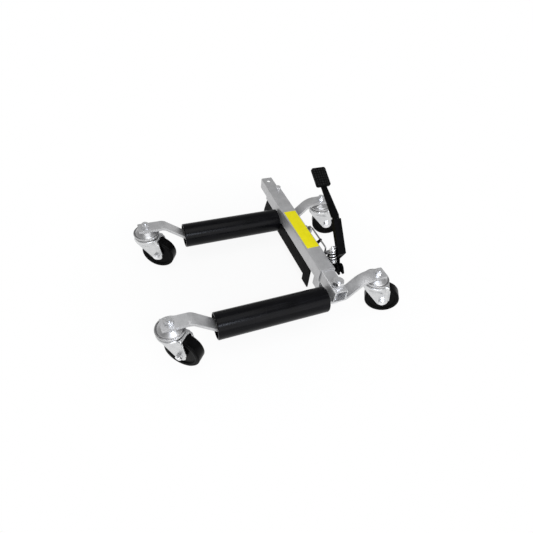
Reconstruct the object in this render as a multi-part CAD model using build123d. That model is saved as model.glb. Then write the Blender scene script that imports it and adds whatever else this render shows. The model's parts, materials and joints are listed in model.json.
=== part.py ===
from build123d import *
import os
from math import asin, atan2, cos, pi, sin, sqrt, tan

os.makedirs("parts", exist_ok=True)

# Vehicle positioning jack: two rollers on a telescopic ratchet rail, on four swivel castors.
# Millimetres. X runs along the rollers to the pedal side, Y along the rail to its far end,
# Z is up from the floor. Sizes are set about the middle of the four kingpins, and the whole
# model is moved at the end so that its origin is the middle of its box on the floor.

# Frame
STEM_X = 294.5            # kingpin to the frame's middle, along the rollers
ROLLER_Y = 186.0          # roller axis and kingpins to the frame's middle, drawn nearly closed
ROLLER_Z = 80.0           # roller axis above the floor
ROLLER_R = 37.0
ROLLER_WALL = 4.0
ROLLER_LEFT = -183.5
ROLLER_RIGHT = 133.5
ROLLER_EDGE_R = 2.5

# Cranked bars
BAR_W = 38.0
BAR_T = 8.0
BAR_OVERHANG = 21.5       # bar past the kingpin
LEFT_BEND_R = 25.0        # left bars' upper bend, middle of the bar
RIGHT_BEND_R = 60.0       # right bars' upper bend
FOOT_BEND_R = 20.0        # lower bend
BAR_CORNER_R = 3.0
LEFT_LEVEL_IN = 44.6      # kingpin to the start of the left bars' upper bend
LEFT_FLAT_IN = 15.6       # roller end to the start of their lower bend, inside the roller
BEND_CLEAR = 1.0          # right bars' bends to the swivel cap's hub and to the rail's flat

# Roller shafts, bushes and collars
SHAFT_R = 12.5
SHAFT_SLOT = 20.0         # depth of the slotted ends that take the bars
RIGHT_SHAFT_IN = 3.5      # roller end to the shaft's end
LEFT_SHAFT_IN = 2.9       # left bars' lower bend to the shaft's end
BUSH_L = 15.0
COLLAR_L = 5.0
COLLAR_R = 19.0
SIDE_GAP = 0.5            # collar to bush and to bar

# Rail
RAIL_SIZE = 48.0          # outer square tube
RAIL_WALL = 3.5
RAIL_GAP = 6.5            # roller end to the rail
RAIL_NEAR = -126.0
RAIL_FAR = 304.0
RAIL_CORNER_R = 4.0
TUBE_WALL = 3.0
TUBE_NEAR = -212.0
TUBE_FAR = 372.0
TUBE_CORNER_R = 3.5
SLIDE_CLEAR = 0.5         # inner tube to outer rail, each side
HANG_HOLE_R = 6.5
HANG_HOLE_IN = 21.0       # far end to the hanging hole
LABEL_T = 0.4
LABEL_SIDE = 4.0          # bare metal each side of the yellow patch
LABEL_NEAR = -28.0
LABEL_FAR = 156.0
OPEN_TRAVEL = 160.0       # slide travel each way from the drawn place, in whole teeth
CLOSE_TRAVEL = 20.0

# Ratchet
RACK_OUT = 8.5            # rack past the rail's side
RACK_UP = 16.0            # rail's underside to the rack's underside
RACK_NEAR = -122.0
RACK_FAR = 252.0
RACK_BASE_H = 7.0
TOOTH_H = 5.0
TOOTH_PITCH = 10.0
TOOTH_LAND = 1.2
RACK_CLEAR = 1.0          # rack in the rail's side slot
PAWL_T = 6.0
PAWL_OFF = 2.5            # rail side to the pawls
PAWL_LIFT = 0.8           # pawl tips over the teeth as drawn
PAWL_TIP_H = 4.0
HOLD_Y = 57.9             # holding pawl's pivot
HOLD_UP = 10.0            # rack top to that pivot
HOLD_BOSS_R = 8.5
HOLD_REACH = 30.0
HOLD_LUG = 11.0           # pivot to the rod's hole
STUD_R = 4.0
STUD_HEAD_R = 6.4
STUD_HEAD_T = 2.7
ROD_R = 2.6
ROD_OUT = 12.0            # rail side to the release rod
ROD_NEAR = -41.0
ROD_PULL = 17.0           # turned-down finger pull
ROD_BEND_R = 6.0
ROD_HOLE_R = 3.4          # oblong hole for the rod in the pawl's lug
ROD_HOLE_HALF = 2.6
LUG_RIM = 2.0
GUIDE_Y = -6.0
GUIDE_T = 4.0
GUIDE_RIM = 1.6

# Pedal
PIVOT_IN = 65.2           # rail's near end to the pedal pivot
PIVOT_UP = 20.9           # rail underside to the pedal pivot
PIVOT_R = 5.0
PIVOT_BOSS_R = 12.0
PIN_HEAD_R = 8.0
PIN_HEAD_T = 3.0
WEB_CLEAR = 24.0          # channel's web starts this far from the pivot
PEDAL_OFF = 22.0          # rail side to the channel
CHANNEL_W = 24.0
CHANNEL_T = 3.0
LEVER_HALF = 8.0          # half depth of the channel's sides
HEEL = (-27.2, 46.9)      # lever corners from the pivot, along Y and Z
KNEE = (36.0, 121.0)
TOE = (136.0, 160.0)
PAD_END = (192.6, 190.8)
UPPER_W = 17.0            # upper arm at the pad; it is as wide as the channel at the knee
UPPER_OFF = 3.8           # its middle at the pad from the channel's, along X
UPPER_T = 8.0
UPPER_LAP = 30.0          # upper arm inside the channel, and under the pad
PAD_W = 46.0
PAD_T = 3.0
PAD_IN = 2.0              # lever's last bend to the pad
PAD_CORNER_R = 6.0
TREAD_T = 4.0
DRIVE_PIVOT = (-6.0, 34.0)    # from the pedal pivot
DRIVE_REACH = 22.0            # along Y, to the pawl's tip
DRIVE_PIN_R = 4.0
DRIVE_BOSS_R = 6.5
CHEEK_T = 3.0
CHEEK_GAP = 1.0
CHEEK_FOOT = 19.0         # pivot to the cheeks' front
BASE_T = 4.0
BASE_UP = 3.0             # rail underside to the bracket's base
BASE_NEAR_IN = 8.0        # rail's near end to the bracket's front
LUG_HALF = 10.0           # forked lug at the base's front
LUG_NOTCH = 9.0
LUG_NOTCH_HALF = 4.0
LUG_OUT = 20.0            # lug past the spring's side of the base
EAR_R = 13.0              # upright ears on the lug
EAR_IN = 20.0             # lug's front to the ears' middle
EAR_UP = 5.0              # base to the ears' middle

# Return spring
SPRING_OUT = 11.0         # rail side to the spring's axis
SPRING_LOW = (-34.7, 16.1)    # seats from the pedal pivot, along Y and Z
SPRING_HIGH = (-16.9, 51.4)
SPRING_R = 8.8            # middle of the wire
WIRE_R = 1.5
COIL_TURNS = 5
END_TURN = 0.16           # part of a turn in which the wire bends into line with the axis
END_RISE = 5.2
SEAT_T = 3.0
SEAT_W = 12.0
SEAT_R = 10.3
SEAT_FOOT = 6.0
BALL_END_R = 5.0
BALL_UP = 7.0             # upper seat's underside to the ball's middle
SPRING_PIN_R = 3.0

# Castors
WHEEL_R = 50.0
WHEEL_W = 33.0
WHEEL_EDGE_R = 8.0
WHEEL_DISH = 4.0
WHEEL_RIM_R = 39.0
HUB_W = 37.0
HUB_R = 16.0
TRAIL = 33.5
FORK_GAP = 39.0
FORK_T = 3.0
FORK_R = 38.0
WHEEL_CLEAR = 5.5         # wheel to the fork's plate
FORK_EYE_R = 15.0
FORK_RIB = 3.0
HOOD = 41.0               # kingpin to the plate's straight trailing edge
HOOD_LIP = 4.0
AXLE_R = 5.0
SLEEVE_R = 8.0
KING_R = 6.0
BALL_R = 3.6
BALL_COUNT = 12
BALL_TRACK_R = 22.0
CAP_T = 3.0
CAP_DOME_R = 33.0
CAP_HUB_R = 21.0
CAP_DOME_H = 11.0
CAP_SKIRT_T = 2.5
CASTOR_TURN = {"far_left": -31.7, "near_left": -41.9, "near_right": -30.6, "far_right": -22.7}

# Tyre guard, gib bracket and screws
GUARD_T = 4.0
GUARD_LEG = 30.0
GUARD_NEAR = -74.0
GUARD_FAR = 296.0
GUARD_LOW = 34.0
GUARD_FOOT = 10.0
GUARD_FOOT_L = 38.0
GUARD_TIP = 18.0
GUARD_SCREW_Y = (-30.0, 120.0, 260.0)
SCREW_R = 3.0
STOP_IN = 20.0            # rail end to the stop screw
STOP_R = 4.0
GIB_W = 34.0
GIB_L = 32.0
GIB_T = 4.0
GIB_DROP = 40.0
SIDE_SCREW_R = 5.5
SIDE_SCREW_IN = 11.0      # rail's far end and right side to the side-play screw
PLATE_GAP = 2.0           # guard to the far cross bar
CLAMP_R = 9.0             # bolt through the near cross bar and the inner tube

# Screws, bolts and nuts, as shares of the thread's radius, and hex corners as shares of the flats
HEAD_FLATS = 3.25
HEAD_H = 1.3
NUT_FLATS = 3.2
NUT_H = 1.7
WASHER_R = 2.0
WASHER_T = 0.4
THREAD_OUT = 2.4          # bolt's end past the washer's seat
CROWN_R = 0.6
CROWN_EASE = 0.09

# Fits
RUN = 0.05                # running clearance on the radius
FIT = 0.05                # a fixed pin or screw in its hole
LOOSE = 0.3               # faces on different bodies

# Worked-out places
rail_left = ROLLER_RIGHT + RAIL_GAP
rail_right = rail_left + RAIL_SIZE
rail_x = rail_left + RAIL_SIZE / 2
bar_under = ROLLER_Z - BAR_T / 2
rail_bottom = ROLLER_Z + BAR_T / 2
rail_top = rail_bottom + RAIL_SIZE
rail_z = rail_bottom + RAIL_SIZE / 2
tube_half = RAIL_SIZE / 2 - RAIL_WALL - SLIDE_CLEAR
tube_bottom = rail_z - tube_half
tube_top = rail_z + tube_half
rack_bottom = rail_bottom + RACK_UP
rack_root = rack_bottom + RACK_BASE_H
rack_top = rack_root + TOOTH_H
rack_right = rail_right + RACK_OUT
pawl_left = rail_right + PAWL_OFF
pawl_right = pawl_left + PAWL_T
tip_z = rack_top + PAWL_LIFT
fork_under = 2 * WHEEL_R + WHEEL_CLEAR
fork_top = fork_under + FORK_T
cap_under = fork_top + 2 * (BALL_R + LOOSE / 2)
cap_rim = cap_under + CAP_T
arm_under = cap_rim + CAP_DOME_H
arm_mid = arm_under + BAR_T / 2
bar_top = arm_under + BAR_T
bore_r = ROLLER_R - ROLLER_WALL
left_level = LEFT_LEVEL_IN - STEM_X
left_flat = ROLLER_LEFT + LEFT_FLAT_IN
right_level = STEM_X - CAP_HUB_R - BEND_CLEAR
right_flat = rail_right - RAIL_CORNER_R + BEND_CLEAR
shaft_left = left_flat + LEFT_SHAFT_IN
shaft_right = ROLLER_RIGHT - RIGHT_SHAFT_IN
collar_left = shaft_left + SHAFT_SLOT + SIDE_GAP
collar_right = shaft_right - SHAFT_SLOT - SIDE_GAP
bush_left = collar_left + COLLAR_L + SIDE_GAP
bush_right = collar_right - COLLAR_L - SIDE_GAP
pivot_y = RAIL_NEAR + PIVOT_IN
pivot_z = rail_bottom + PIVOT_UP
base_top = rail_bottom + BASE_UP + BASE_T
channel_left = rail_right + PEDAL_OFF
channel_right = channel_left + CHANNEL_W
pedal_x = channel_left + CHANNEL_W / 2
cheek_left = channel_left - CHEEK_GAP - CHEEK_T
cheek_right = channel_right + CHEEK_GAP + CHEEK_T
hold_z = rack_top + HOLD_UP
rod_x = rail_right + ROD_OUT
rod_z = hold_z + HOLD_LUG
stop_y = RAIL_NEAR + STOP_IN
spring_x = rail_right + SPRING_OUT
guard_screw_x = rail_left + (GUARD_T + GUARD_LEG) / 2
gib_under = rail_bottom - GIB_DROP
king_top = fork_under - LOOSE
arm_top = LEVER_HALF - CHANNEL_T      # upper arm's top over the lever's line, where the pad sits


def from_pivot(p):
    """A place given from the pedal pivot, as Y and Z."""
    return (pivot_y + p[0], pivot_z + p[1])


pivot = from_pivot((0.0, 0.0))
heel, knee, toe, pad_end = (from_pivot(p) for p in (HEEL, KNEE, TOE, PAD_END))
drive = from_pivot(DRIVE_PIVOT)
drive_tip = (drive[0] + DRIVE_REACH, tip_z)
spring_low, spring_high = (Vector(spring_x, *from_pivot(p)) for p in (SPRING_LOW, SPRING_HIGH))
spring_axis = (spring_high - spring_low).normalized()
spring_ball = spring_high + spring_axis * BALL_UP


def block(x0, x1, y0, y1, z0, z1):
    """Box between two corners."""
    return Pos((x0 + x1) / 2, (y0 + y1) / 2, (z0 + z1) / 2) * Box(x1 - x0, y1 - y0, z1 - z0)


def rod_along_x(r, x0, x1, y, z):
    return Pos((x0 + x1) / 2, y, z) * Rot(0, 90, 0) * Cylinder(r, x1 - x0)


def rod_along_y(r, y0, y1, x, z):
    return Pos(x, (y0 + y1) / 2, z) * Rot(90, 0, 0) * Cylinder(r, y1 - y0)


def rod_along_z(r, z0, z1, x, y):
    return Pos(x, y, (z0 + z1) / 2) * Cylinder(r, z1 - z0)


def ring_along_x(outer, inner, x0, x1, y, z):
    return rod_along_x(outer, x0, x1, y, z) - rod_along_x(inner, x0 - 1, x1 + 1, y, z)


def hexagon(flats, height):
    """Hex head standing on the XY plane, with its top corners eased."""
    prism = extrude(RegularPolygon(flats / 2, 6, major_radius=False), height)
    crown = Cylinder(flats * CROWN_R, height, align=(Align.CENTER, Align.CENTER, Align.MIN))
    return prism & chamfer(crown.edges().group_by(Axis.Z)[-1], flats * CROWN_EASE)


def plate_yz(face, x0, x1):
    """Extrude a face drawn in Y and Z from x0 to x1."""
    return extrude(Plane.YZ.offset(x0) * face, amount=x1 - x0)


def plate_xz(face, y0, y1):
    """Extrude a face drawn in X and Z from y0 to y1."""
    return extrude(Plane.XZ.offset(-y0) * face, amount=y0 - y1)


def polygon(points):
    return make_face(Polyline(*points, close=True))


def disc(centre, r):
    return Pos(*centre) * Circle(r)


def hull(*faces):
    """Face stretched round several others."""
    return make_hull([edge for face in faces for edge in face.edges()])


def side_points(points, offset):
    """Points of a line moved to its left by offset, with mitred corners."""
    line = [Vector(*p) for p in points]
    runs = [(b - a).normalized() for a, b in zip(line, line[1:])]
    normals = [Vector(-r.Y, r.X) for r in runs]
    moved = [line[0] + normals[0] * offset]
    for p, n0, n1 in zip(line[1:-1], normals, normals[1:]):
        moved.append(p + (n0 + n1) * (offset / (1 + n0.dot(n1))))
    moved.append(line[-1] + normals[-1] * offset)
    return moved


def strip(points, left, right):
    """Face along a line, reaching left and right of it by the given amounts."""
    return polygon(side_points(points, left) + side_points(points, -right)[::-1])


def bent_strip(points, thickness, *radii):
    """Face of a bent bar: the line is the bar's middle, and radii its bends' in turn."""
    half = thickness / 2
    line = [Vector(*p) for p in points]
    turns = [(b - a).cross(c - b).Z for a, b, c in zip(line, line[1:], line[2:])]
    left = [r - half if t > 0 else r + half for r, t in zip(radii, turns)]
    right = [r + half if t > 0 else r - half for r, t in zip(radii, turns)]
    one = FilletPolyline(*side_points(points, half), radius=left)
    two = FilletPolyline(*side_points(points, -half), radius=right)
    return make_face([*one.edges(), Line(one @ 1, two @ 1), *two.edges(), Line(two @ 0, one @ 0)])


def square_tube(size, wall, corner, y0, y1):
    """Square tube along the rail's line."""
    outside = RectangleRounded(size, size, corner)
    inside = RectangleRounded(size - 2 * wall, size - 2 * wall, corner - wall)
    return plate_xz(Pos(rail_x, rail_z) * (outside - inside), y0, y1)


# Frame pieces
def crank_bar(side, y):
    """Bent flat bar from the castor to the roller's shaft; side is -1 left, 1 right."""
    if side < 0:
        level, flat, inner, upper = left_level, left_flat, shaft_left + SHAFT_SLOT, LEFT_BEND_R
    else:
        level, flat, inner, upper = right_level, right_flat, shaft_right - SHAFT_SLOT, RIGHT_BEND_R
    run, rise, bends = abs(level - flat), arm_mid - ROLLER_Z, upper + FOOT_BEND_R
    slope = asin(bends / sqrt(run ** 2 + (bends - rise) ** 2)) - atan2(bends - rise, run)
    bend = level - side * upper * tan(slope / 2)
    foot = flat + side * FOOT_BEND_R * tan(slope / 2)
    end = side * (STEM_X + BAR_OVERHANG)
    line = [(end, arm_mid), (bend, arm_mid), (foot, ROLLER_Z), (inner, ROLLER_Z)]
    bar = plate_xz(bent_strip(line, BAR_T, upper, FOOT_BEND_R), y - BAR_W / 2, y + BAR_W / 2)
    bar = fillet(bar.edges().filter_by(Axis.Z).group_by(Axis.X)[min(0, -side)], BAR_CORNER_R)
    return bar - rod_along_z(KING_R + FIT, arm_under - 1, bar_top + 1, side * STEM_X, y)


def roller_shaft(y):
    """Round shaft through the roller, slotted at both ends for the bars."""
    shaft = rod_along_x(SHAFT_R, shaft_left, shaft_right, y, ROLLER_Z)
    near, far = y - SHAFT_R - 1, y + SHAFT_R + 1
    shaft -= block(shaft_left - 1, shaft_left + SHAFT_SLOT, near, far, bar_under, rail_bottom)
    return shaft - block(shaft_right - SHAFT_SLOT, shaft_right + 1, near, far, bar_under, rail_bottom)


def roller(y):
    tube = ring_along_x(ROLLER_R, bore_r, ROLLER_LEFT, ROLLER_RIGHT, y, ROLLER_Z)
    rims = tube.edges().filter_by(GeomType.CIRCLE).filter_by(lambda e: e.radius > bore_r + RUN)
    return fillet(rims, ROLLER_EDGE_R)


def roller_bushes(y):
    spans = ((bush_left, bush_left + BUSH_L), (bush_right - BUSH_L, bush_right))
    return [ring_along_x(bore_r, SHAFT_R + RUN, x0, x1, y, ROLLER_Z) for x0, x1 in spans]


def shaft_collars(y):
    spans = ((collar_left, collar_left + COLLAR_L), (collar_right - COLLAR_L, collar_right))
    return [ring_along_x(COLLAR_R, SHAFT_R + FIT, x0, x1, y, ROLLER_Z) for x0, x1 in spans]


def outer_rail():
    """Square tube with a side slot for the rack, and holes for its screws and the pawl stud."""
    rail = square_tube(RAIL_SIZE, RAIL_WALL, RAIL_CORNER_R, RAIL_NEAR, RAIL_FAR)
    floor = (rail_bottom - 1, rail_bottom + RAIL_WALL + 1)
    wall = (rail_right - RAIL_WALL - 1, rail_right + 1)
    rail -= block(*wall, RAIL_NEAR - 1, RACK_FAR + CLOSE_TRAVEL + RACK_CLEAR,
                  rack_bottom - RACK_CLEAR, rack_root + RACK_CLEAR)
    rail -= rod_along_z(STOP_R + FIT, *floor, rail_x, stop_y)
    for y in GUARD_SCREW_Y:
        rail -= rod_along_z(SCREW_R + FIT, *floor, guard_screw_x, y)
    rail -= rod_along_x(STUD_R + FIT, *wall, HOLD_Y, hold_z)
    return rail - rod_along_z(SIDE_SCREW_R + FIT, rail_top - RAIL_WALL - 1, rail_top + 1,
                              rail_right - SIDE_SCREW_IN, RAIL_FAR - SIDE_SCREW_IN)


def inner_tube():
    """Sliding tube with its hanging hole, clamp bolt hole and stop slot."""
    tube = square_tube(2 * tube_half, TUBE_WALL, TUBE_CORNER_R, TUBE_NEAR, TUBE_FAR)
    through = (tube_bottom - 1, tube_top + 1)
    floor = (tube_bottom - 1, tube_bottom + TUBE_WALL + 1)
    tube -= rod_along_z(HANG_HOLE_R, *through, rail_x, TUBE_FAR - HANG_HOLE_IN)
    tube -= rod_along_z(CLAMP_R + FIT, *through, rail_x, -ROLLER_Y)
    half = STOP_R + SLIDE_CLEAR
    near, far = stop_y - CLOSE_TRAVEL, stop_y + OPEN_TRAVEL
    for y in (near, far):
        tube -= rod_along_z(half, *floor, rail_x, y)
    return tube - block(rail_x - half, rail_x + half, near, far, *floor)


def ratchet_rack():
    """Toothed bar on the inner tube's side; the steep faces look to the near end."""
    base = block(rail_x + tube_half, rack_right, RACK_NEAR, RACK_FAR, rack_bottom, rack_root)
    teeth = int((RACK_FAR - RACK_NEAR) / TOOTH_PITCH)
    far = RACK_NEAR + teeth * TOOTH_PITCH
    line = [(far, rack_root), (far, rack_root - 1), (RACK_NEAR, rack_root - 1)]
    for i in range(teeth):
        y = RACK_NEAR + i * TOOTH_PITCH
        line += [(y, rack_root), (y, rack_top), (y + TOOTH_LAND, rack_top)]
    return base + plate_yz(polygon(line), rail_right + RACK_CLEAR, rack_right)


def label_patch():
    left, right = rail_left + LABEL_SIDE, rail_right - LABEL_SIDE
    return block(left, right, LABEL_NEAR, LABEL_FAR, rail_top, rail_top + LABEL_T)


def tyre_guard():
    """Angle under the rail with a foot at each end, cut away round the far cross bar."""
    near, far = GUARD_NEAR, GUARD_FAR
    outline = [(near, rail_bottom), (near, GUARD_FOOT), (near + GUARD_FOOT_L, GUARD_FOOT),
               (near + GUARD_FOOT_L, GUARD_LOW), (far - GUARD_TIP, GUARD_LOW), (far - GUARD_TIP, GUARD_FOOT),
               (far + GUARD_TIP, GUARD_FOOT), (far + GUARD_TIP, GUARD_LOW), (far, rail_bottom)]
    guard = plate_yz(polygon(outline), rail_left, rail_left + GUARD_T)
    leg_right, leg_under = rail_left + GUARD_LEG, rail_bottom - GUARD_T
    guard += block(rail_left, leg_right, near, far - GUARD_TIP, leg_under, rail_bottom)
    half = BAR_W / 2 + PLATE_GAP
    guard -= block(rail_left - 1, leg_right + 1, ROLLER_Y - half, ROLLER_Y + half,
                   bar_under - PLATE_GAP, rail_bottom + 1)
    for y in GUARD_SCREW_Y:
        guard -= rod_along_z(SCREW_R + LOOSE, leg_under - 1, rail_bottom + 1, guard_screw_x, y)
    return guard


def screw_up(r, x, y, seat, tip):
    """Hex screw with its head under seat and its end at tip."""
    head = Pos(x, y, seat) * Rot(180, 0, 0) * hexagon(r * HEAD_FLATS, r * HEAD_H)
    return head + rod_along_z(r, seat - 1, tip, x, y)


def guard_screws():
    seat, tip = rail_bottom - GUARD_T, rail_bottom + RAIL_WALL
    return [screw_up(SCREW_R, guard_screw_x, y, seat, tip) for y in GUARD_SCREW_Y]


def gib_bracket():
    """Folded bracket under the rail's near end that carries the stop screw."""
    x0, x1 = rail_x - GIB_W / 2, rail_x + GIB_W / 2
    y0, y1 = stop_y - GIB_L / 2, stop_y + GIB_L / 2
    bracket = block(x0, x1, y0, y1, gib_under, rail_bottom)
    bracket -= block(x0 + GIB_T, x1 - GIB_T, y0 - 1, y1 + 1, gib_under + GIB_T, rail_bottom + 1)
    return bracket - rod_along_z(STOP_R + FIT, gib_under - 1, gib_under + GIB_T + 1, rail_x, stop_y)


def rail_screws():
    """Travel stop screw from below, and the side-play screw on top at the far end."""
    stop = screw_up(STOP_R, rail_x, stop_y, gib_under, tube_bottom + TUBE_WALL)
    side = Rot(180, 0, 0) * screw_up(SIDE_SCREW_R, 0, 0, 0, RAIL_WALL)
    return [stop, Pos(rail_right - SIDE_SCREW_IN, RAIL_FAR - SIDE_SCREW_IN, rail_top) * side]


def packing_plate():
    plate = block(rail_x - tube_half, rail_x + tube_half, -ROLLER_Y - BAR_W / 2, -ROLLER_Y + BAR_W / 2,
                  rail_bottom, tube_bottom)
    return plate - rod_along_z(CLAMP_R + FIT, rail_bottom - 1, tube_bottom + 1, rail_x, -ROLLER_Y)


def washer_and_nut(r, x, y, z):
    """Washer and hex nut for a thread of radius r, standing on z."""
    seat = z + r * WASHER_T
    bore = rod_along_z(r + FIT, z - 1, z + r * THREAD_OUT, x, y)
    washer = rod_along_z(r * WASHER_R, z, seat, x, y) - bore
    nut = Pos(x, y, seat) * hexagon(r * NUT_FLATS, r * NUT_H) - bore
    return [washer, nut]


def clamp_bolt():
    """Bolt up through the near cross bar and the tube, with its washer and nut on top."""
    bolt = screw_up(CLAMP_R, rail_x, -ROLLER_Y, bar_under, tube_top + CLAMP_R * THREAD_OUT)
    return [bolt, *washer_and_nut(CLAMP_R, rail_x, -ROLLER_Y, tube_top)]


def near_right_bar():
    hole = rod_along_z(CLAMP_R + FIT, bar_under - 1, rail_bottom + 1, rail_x, -ROLLER_Y)
    return crank_bar(1, -ROLLER_Y) - hole


# Pedal pieces
def pedal_bracket():
    """Base plate on the rail's side, a cheek each side of the lever, and a forked front lug with two ears."""
    near, far = RAIL_NEAR + BASE_NEAR_IN, pivot_y + PIVOT_BOSS_R + CHEEK_T
    under, front = base_top - BASE_T, pivot_y - CHEEK_FOOT
    left, right = pedal_x - LUG_HALF, pedal_x + LUG_HALF
    notch_left, notch_right = pedal_x - LUG_NOTCH_HALF, pedal_x + LUG_NOTCH_HALF
    outline = [(rail_right, far), (rail_right, near + LUG_OUT), (left, near + LUG_OUT), (left, near),
               (notch_left, near), (notch_left, near + LUG_NOTCH), (notch_right, near + LUG_NOTCH),
               (notch_right, near), (right, near), (right, front), (cheek_right, front), (cheek_right, far)]
    base = extrude(Plane.XY.offset(under) * polygon(outline), BASE_T)
    foot = polygon([(front, base_top), (far, base_top), (far, base_top - 1), (front, base_top - 1)])
    cheek = hull(foot, disc(pivot, PIVOT_BOSS_R))
    cheek -= strip([(near, under), (far + 1, under)], 0, PIVOT_BOSS_R)
    bracket = base + plate_yz(cheek, cheek_left, cheek_left + CHEEK_T)
    bracket += plate_yz(cheek, cheek_right - CHEEK_T, cheek_right)
    sole = polygon([(near, base_top), (front, base_top), (front, base_top - 1), (near, base_top - 1)])
    ear = hull(sole, disc((near + EAR_IN, base_top + EAR_UP), EAR_R))
    ear -= strip([(near - 1, under), (front + 1, under)], 0, EAR_R)
    bracket += plate_yz(ear, left, notch_left) + plate_yz(ear, notch_right, right)
    return bracket - rod_along_x(PIVOT_R + FIT, cheek_left - 1, cheek_right + 1, *pivot)


def pivot_pin():
    pin = rod_along_x(PIVOT_R, cheek_left - PIN_HEAD_T, cheek_right, *pivot)
    return pin + rod_along_x(PIN_HEAD_R, cheek_right, cheek_right + PIN_HEAD_T, *pivot)


def pedal_channel():
    """Pressed channel, open underneath, from the pivot over the heel to the knee."""
    boss = disc(pivot, PIVOT_BOSS_R)
    ear = disc(drive, DRIVE_BOSS_R)
    side = strip([heel, knee], LEVER_HALF, LEVER_HALF) + hull(boss, ear, disc(heel, LEVER_HALF))
    web = strip([pivot, heel, knee], LEVER_HALF, CHANNEL_T - LEVER_HALF)
    web -= disc(pivot, WEB_CLEAR)
    channel = plate_yz(side, channel_left, channel_left + CHANNEL_T)
    channel += plate_yz(side, channel_right - CHANNEL_T, channel_right)
    channel += plate_yz(web, channel_left, channel_right)
    channel -= rod_along_x(PIVOT_R + RUN, channel_left - 1, channel_right + 1, *pivot)
    flange = (channel_left - 1, channel_left + CHANNEL_T + 1)
    channel -= rod_along_x(DRIVE_PIN_R + RUN, *flange, *drive)
    return channel - rod_along_x(SPRING_PIN_R + FIT, *flange, spring_ball.Y, spring_ball.Z)


def towards(a, b, length):
    """Point on the way from a to b."""
    return tuple(Vector(*a) + (Vector(*b) - Vector(*a)).normalized() * length)[:2]


def pedal_upper_arm():
    """Flat bar lying under the channel's web, narrowing from the knee to the pad."""
    line = [towards(knee, heel, UPPER_LAP), knee, toe, towards(toe, pad_end, UPPER_LAP)]
    bar = plate_yz(strip(line, arm_top, UPPER_T - arm_top), channel_left, channel_right)
    left, right = pedal_x + UPPER_OFF - UPPER_W / 2, pedal_x + UPPER_OFF + UPPER_W / 2
    inside_left, inside_right = channel_left + CHANNEL_T + FIT, channel_right - CHANNEL_T - FIT
    lap, wide, end = line[0][0] - LEVER_HALF, knee[0] + LEVER_HALF, pad_end[0]
    outline = [(inside_left, lap), (inside_left, wide), (channel_left, wide), (left, toe[0]),
               (left, end), (right, end), (right, toe[0]), (channel_right, wide), (inside_right, wide),
               (inside_right, lap)]
    return bar & extrude(Plane.XY.offset(pivot_z) * polygon(outline), pad_end[1] - pivot_z)


def pad_slab(low, high):
    """Slab of the pad's outline between two heights over the lever's line."""
    start = towards(toe, pad_end, PAD_IN)
    slab = plate_yz(strip([start, pad_end], high, -low), pedal_x - PAD_W / 2, pedal_x + PAD_W / 2)
    run = Vector(0, pad_end[0] - toe[0], pad_end[1] - toe[1])
    normal = run.cross(Vector(1, 0, 0)).normalized()
    upright = [e for e in slab.edges() if abs((e % 0.5).dot(normal)) > 0.99]
    return fillet(upright, PAD_CORNER_R)


def spring_lower_seat():
    """Bent tab on the bracket's base, its upper part square to the spring."""
    up = Vector(-spring_axis.Z, spring_axis.Y)
    middle = Vector(spring_low.Y, spring_low.Z) - Vector(spring_axis.Y, spring_axis.Z) * (SEAT_T / 2)
    end = middle + up * SEAT_R
    bend = middle - up * SEAT_FOOT
    line = [(bend.X, base_top), tuple(bend)[:2], tuple(end)[:2]]
    left = rack_right + RACK_CLEAR
    return plate_yz(bent_strip(line, SEAT_T, SEAT_T), left, left + SEAT_W)


def spring_upper_pin():
    """Seat disc and bright ball on a pin from the channel's side."""
    plane = Plane(spring_high, x_dir=(1, 0, 0), z_dir=spring_axis)
    profile = Polyline((0, 0), (SEAT_R, 0), (SEAT_R, SEAT_T), (BALL_END_R, SEAT_T), (BALL_END_R, BALL_UP))
    dome = JernArc(profile @ 1, profile % 1, BALL_END_R, 90)
    stub = revolve(Plane.XZ * make_face([*profile.edges(), dome, Line(dome @ 1, (0, 0))]), Axis.Z)
    pin = rod_along_x(SPRING_PIN_R, spring_x, channel_left + CHANNEL_T, spring_ball.Y, spring_ball.Z)
    return plane * Rot(0, 0, 90) * stub + pin


def biarc(p0, t0, p1, t1):
    """Two tangent arcs between points with given directions."""
    v, t = p1 - p0, t0 + t1
    bend = 2 * (1 - t0.dot(t1))
    d = (sqrt(v.dot(t) ** 2 + bend * v.dot(v)) - v.dot(t)) / bend
    q0, q1 = p0 + t0 * d, p1 - t1 * d
    middle = (q0 + q1) * 0.5
    return [TangentArc(p0, middle, tangent=t0), TangentArc(middle, p1, tangent=q1 - q0)]


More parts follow.
